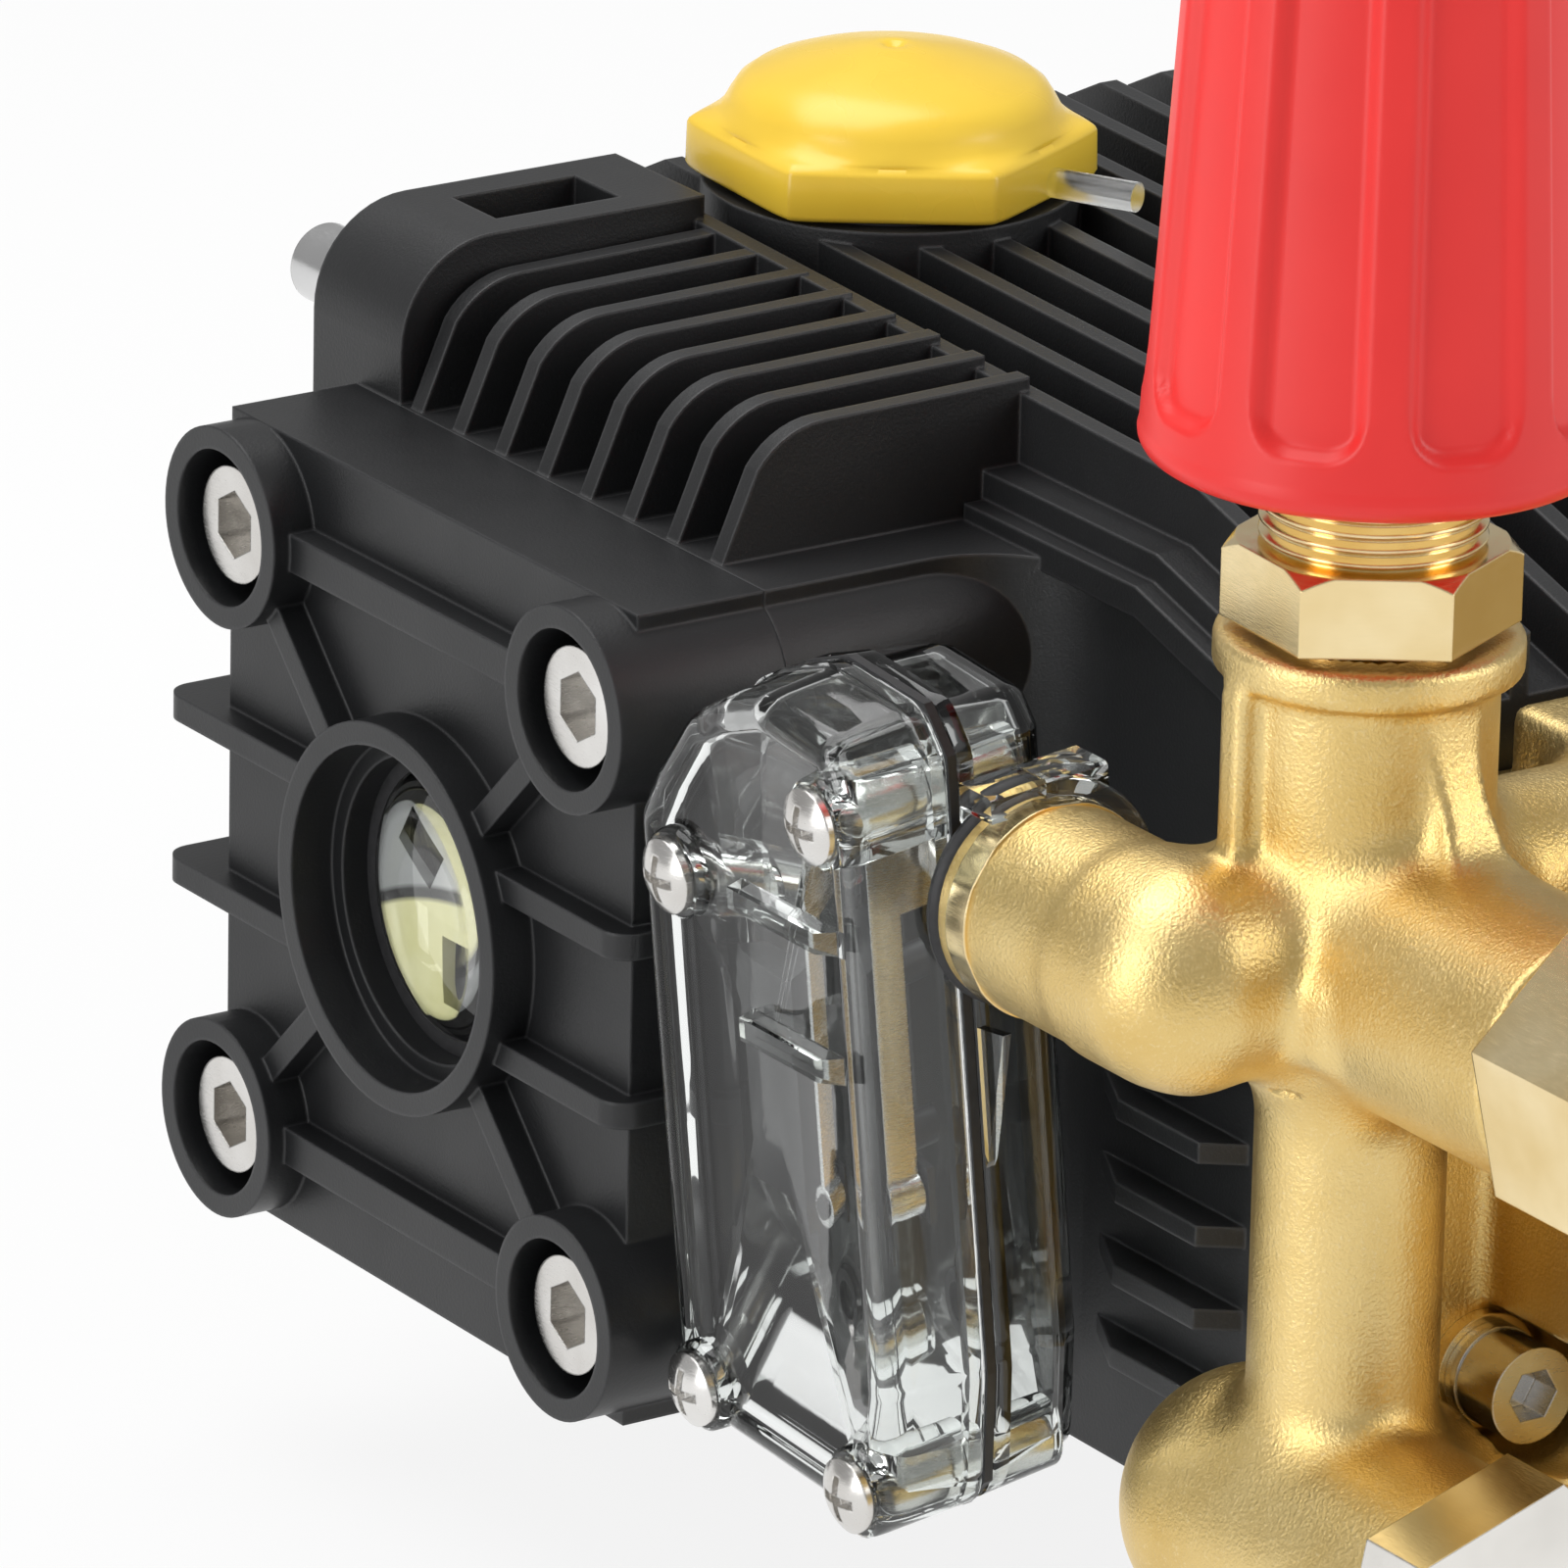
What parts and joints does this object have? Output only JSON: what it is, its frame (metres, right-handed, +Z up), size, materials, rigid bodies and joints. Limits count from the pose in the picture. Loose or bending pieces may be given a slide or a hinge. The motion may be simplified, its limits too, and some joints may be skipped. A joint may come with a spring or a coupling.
{
  "type": "pressure washer pump",
  "caption": "Plunger pump for a pressure washer: finned black crankcase, brass head with valves, red pressure regulator knob, clear pressure switch box and a yellow oil cap.",
  "frame": {"origin": "on the crank axis, at the face of the drive flange", "axes": "+X out of the flange face to the motor, -Y front with the brass head, +Z up"},
  "size_m": [0.1836, 0.2522, 0.2164],
  "materials": {
    "case_black": "satin",
    "stainless": "brushed",
    "forged_steel": "satin",
    "bearing_steel": "polished",
    "spring_steel": "satin",
    "cast_brass": "satin",
    "machined_brass": "polished",
    "plated_brass": "polished",
    "rod_alloy": "satin",
    "ceramic_white": "gloss",
    "rubber_black": "matte",
    "red_plastic": "satin",
    "yellow_plastic": "gloss",
    "clear_tube": "gloss",
    "clear_plastic": "gloss",
    "clear_glass": "gloss",
    "reflector_white": "gloss",
    "switch_dark": "matte",
    "switch_pale": "satin"
  },
  "bodies": {
    "pump": {"crankcase": "case_black", "side_cover": "case_black", "cover_screws": "stainless", "sight_glass": "clear_glass", "sight_seal": "rubber_black", "sight_reflector": "reflector_white", "cover_bearing": "bearing_steel", "drive_bearing": "bearing_steel", "drive_flange": "case_black", "flange_screws": "stainless", "shaft_seal": "rubber_black", "oil_seals": "rubber_black", "seal_spacers": "machined_brass", "water_seals": "rubber_black", "head": "cast_brass", "head_bolts": "stainless", "flat_washers": "machined_brass", "spring_washers": "stainless", "valve_caps": "machined_brass", "valve_seats": "stainless", "regulator_nut": "machined_brass", "regulator_spring": "bearing_steel", "outlet_fitting": "machined_brass", "inlet_fitting": "plated_brass", "rear_pin": "bearing_steel", "switch_lid": "clear_plastic", "switch_gasket": "rubber_black", "switch_base": "clear_plastic", "lid_screws": "stainless", "microswitch": "switch_dark", "cable_gland": "rubber_black"},
    "crank": {"crankshaft": "forged_steel"},
    "rod_1": {"conrod_1": "rod_alloy"},
    "ram_1": {"guide_1": "bearing_steel", "wrist_pin_1": "bearing_steel", "plunger_1": "ceramic_white"},
    "delivery_1": {"delivery_valve_1": "stainless"},
    "suction_1": {"suction_valve_1": "stainless"},
    "rod_2": {"conrod_2": "rod_alloy"},
    "ram_2": {"guide_2": "bearing_steel", "wrist_pin_2": "bearing_steel", "plunger_2": "ceramic_white"},
    "delivery_2": {"delivery_valve_2": "stainless"},
    "suction_2": {"suction_valve_2": "stainless"},
    "rod_3": {"conrod_3": "rod_alloy"},
    "ram_3": {"guide_3": "bearing_steel", "wrist_pin_3": "bearing_steel", "plunger_3": "ceramic_white"},
    "delivery_3": {"delivery_valve_3": "stainless"},
    "suction_3": {"suction_valve_3": "stainless"},
    "regulator_plug": {"spring_seat": "bearing_steel"},
    "knob": {"regulator_knob": "red_plastic", "knob_insert": "machined_brass"},
    "relief_piston": {"regulator_piston": "stainless"},
    "cap_carrier": {"oil_cap_ring": "rubber_black"},
    "cap": {"oil_cap": "yellow_plastic", "breather_tube": "clear_tube"},
    "button": {"switch_button": "switch_pale"},
    "lever": {"switch_lever": "spring_steel"},
    "sensing_piston": {"switch_piston": "stainless"}
  },
  "joints": [
    {"name": "crank_spin", "type": "hinge", "parent": "pump", "child": "crank", "pos_m": [-0.05, 0, 0], "axis": [1, 0, 0], "continuous": true},
    {"name": "rod_1_turn", "type": "hinge", "parent": "crank", "child": "rod_1", "pos_m": [-0.106, 0.005, 0], "axis": [1, 0, 0], "continuous": true},
    {"name": "plunger_1_stroke", "type": "slide", "parent": "pump", "child": "ram_1", "axis": [0, 1, 0], "range_m": [-0.01, 0]},
    {"name": "delivery_valve_1_lift", "type": "slide", "parent": "pump", "child": "delivery_1", "axis": [0, 1, 0], "range_m": [0, 0.002], "stiffness_N_per_m": 150, "springref_m": -0.0005},
    {"name": "suction_valve_1_lift", "type": "slide", "parent": "pump", "child": "suction_1", "axis": [0, -1, 0], "range_m": [0, 0.002], "stiffness_N_per_m": 150, "springref_m": -0.0005},
    {"name": "rod_2_turn", "type": "hinge", "parent": "crank", "child": "rod_2", "pos_m": [-0.074, -0.0025, 0.00433], "axis": [1, 0, 0], "continuous": true},
    {"name": "plunger_2_stroke", "type": "slide", "parent": "pump", "child": "ram_2", "axis": [0, 1, 0], "range_m": [-0.0025, 0.0075]},
    {"name": "delivery_valve_2_lift", "type": "slide", "parent": "pump", "child": "delivery_2", "axis": [0, 1, 0], "range_m": [0, 0.002], "stiffness_N_per_m": 150, "springref_m": -0.0005},
    {"name": "suction_valve_2_lift", "type": "slide", "parent": "pump", "child": "suction_2", "axis": [0, -1, 0], "range_m": [0, 0.002], "stiffness_N_per_m": 150, "springref_m": -0.0005},
    {"name": "rod_3_turn", "type": "hinge", "parent": "crank", "child": "rod_3", "pos_m": [-0.042, -0.0025, -0.00433], "axis": [1, 0, 0], "continuous": true},
    {"name": "plunger_3_stroke", "type": "slide", "parent": "pump", "child": "ram_3", "axis": [0, 1, 0], "range_m": [-0.0025, 0.0075]},
    {"name": "delivery_valve_3_lift", "type": "slide", "parent": "pump", "child": "delivery_3", "axis": [0, 1, 0], "range_m": [0, 0.002], "stiffness_N_per_m": 150, "springref_m": -0.0005},
    {"name": "suction_valve_3_lift", "type": "slide", "parent": "pump", "child": "suction_3", "axis": [0, -1, 0], "range_m": [0, 0.002], "stiffness_N_per_m": 150, "springref_m": -0.0005},
    {"name": "knob_lift", "type": "slide", "parent": "pump", "child": "regulator_plug", "axis": [0, 0, 1], "range_m": [-0.006, 0.003], "deforming": ["regulator_spring"]},
    {"name": "knob_turn", "type": "hinge", "parent": "regulator_plug", "child": "knob", "pos_m": [-0.1415, -0.114, 0.1], "axis": [0, 0, 1], "range_deg": [-1440, 720]},
    {"name": "relief_piston_lift", "type": "slide", "parent": "pump", "child": "relief_piston", "axis": [0, 0, 1], "range_m": [-0.002, 0]},
    {"name": "cap_lift", "type": "slide", "parent": "pump", "child": "cap_carrier", "axis": [0, 0, 1], "range_m": [0, 0.0075]},
    {"name": "cap_turn", "type": "hinge", "parent": "cap_carrier", "child": "cap", "pos_m": [-0.099, 0.03, 0.06], "axis": [0, 0, 1], "range_deg": [0, 1080]},
    {"name": "sensing_piston_push", "type": "slide", "parent": "pump", "child": "sensing_piston", "axis": [0, 1, 0], "range_m": [0, 0.0024], "stiffness_N_per_m": 600, "springref_m": -0.0005},
    {"name": "lever_swing", "type": "hinge", "parent": "pump", "child": "lever", "pos_m": [-0.16526, -0.0685, -0.01013], "axis": [0.9947, 0, 0.1028], "range_deg": [-3.9, 0], "stiffness_Nm_per_rad": 0.05, "springref_deg": 1.15},
    {"name": "button_push", "type": "slide", "parent": "pump", "child": "button", "axis": [0, 1, 0], "range_m": [0, 0.001]}
  ],
  "couplings": [
    {"joint": "rod_1_turn", "follows": "crank_spin", "ratio": -1},
    {"joint": "rod_2_turn", "follows": "crank_spin", "ratio": -1},
    {"joint": "rod_3_turn", "follows": "crank_spin", "ratio": -1},
    {"joint": "knob_turn", "follows": "knob_lift", "rad_per_m": 4188.8},
    {"joint": "cap_turn", "follows": "cap_lift", "rad_per_m": 2513.3},
    {"joint": "lever_swing", "follows": "sensing_piston_push", "rad_per_m": -27.778},
    {"joint": "button_push", "follows": "sensing_piston_push", "ratio": 0.41667}
  ]
}
